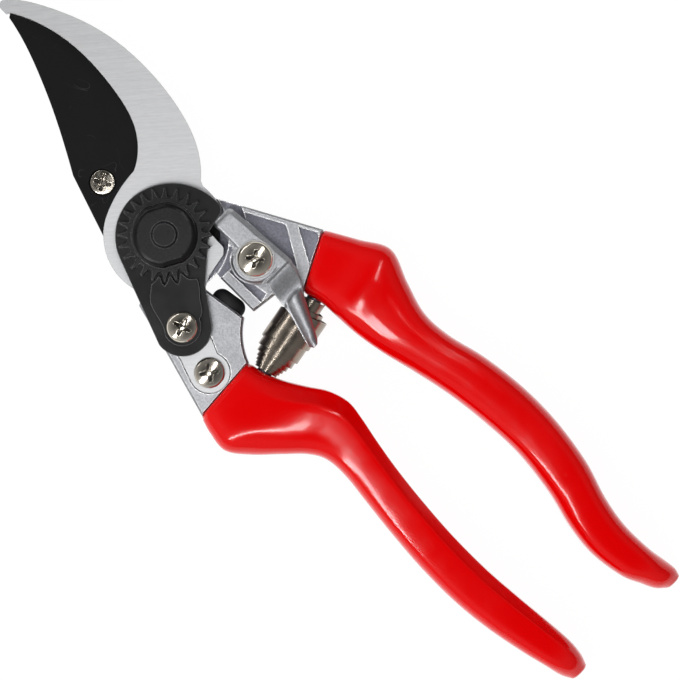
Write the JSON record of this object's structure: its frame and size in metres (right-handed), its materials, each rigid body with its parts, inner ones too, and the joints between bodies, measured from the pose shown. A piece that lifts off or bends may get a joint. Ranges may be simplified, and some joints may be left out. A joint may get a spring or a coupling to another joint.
{
  "type": "pruning shears",
  "caption": "Bypass hand pruner with hooked claw, curved cutting blade, toothed pivot nut, volute return spring, thumb latch and dipped grips.",
  "frame": {"origin": "on the pivot axis at the back of the pivot bolt's head, which is the face the shears lie on", "axes": "+Y from the pivot towards the blade tips, +Z along the pivot axis towards the nut, +X towards the palm handle's side"},
  "size_m": [0.0636, 0.2143, 0.0227],
  "materials": {
    "cast_aluminium": "satin die cast, bright edges",
    "red_vinyl": "glossy dipped vinyl",
    "black_blade": "satin black non-stick coating",
    "bright_steel": "fine brushed",
    "black_steel": "black oxide, slightly glossy",
    "dark_bolt": "black oxide",
    "nickel": "nickel plated",
    "washer_steel": "plain",
    "latch_aluminium": "satin cast",
    "black_rubber": "matt",
    "spring_steel": "nickel plated strip"
  },
  "bodies": {
    "palm_side": {"upper_handle": "cast_aluminium", "upper_grip": "red_vinyl", "cutting_blade": "black_blade", "blade_screw": "nickel", "latch_screw": "nickel", "latch_washer": "washer_steel"},
    "finger_side": {"lower_handle": "cast_aluminium", "lower_grip": "red_vinyl", "counter_blade": "bright_steel", "side_plate": "black_steel", "toothed_segment": "black_steel", "pivot_nut": "black_steel", "pivot_bolt": "dark_bolt", "pivot_washer": "washer_steel", "segment_screw": "nickel", "tail_screw": "nickel", "rubber_cushion": "black_rubber", "return_spring": "spring_steel"},
    "latch": {"latch_lever": "latch_aluminium"}
  },
  "joints": [
    {"name": "pivot", "type": "hinge", "parent": "palm_side", "child": "finger_side", "pos_m": [0, 0, 0], "axis": [0, 0, -1], "range_deg": [0, 38], "deforming": ["return_spring"]},
    {"name": "latch_pivot", "type": "hinge", "parent": "palm_side", "child": "latch", "pos_m": [0.0113, -0.0195, 0.0186], "axis": [0, 0, -1], "range_deg": [0, 25]}
  ]
}
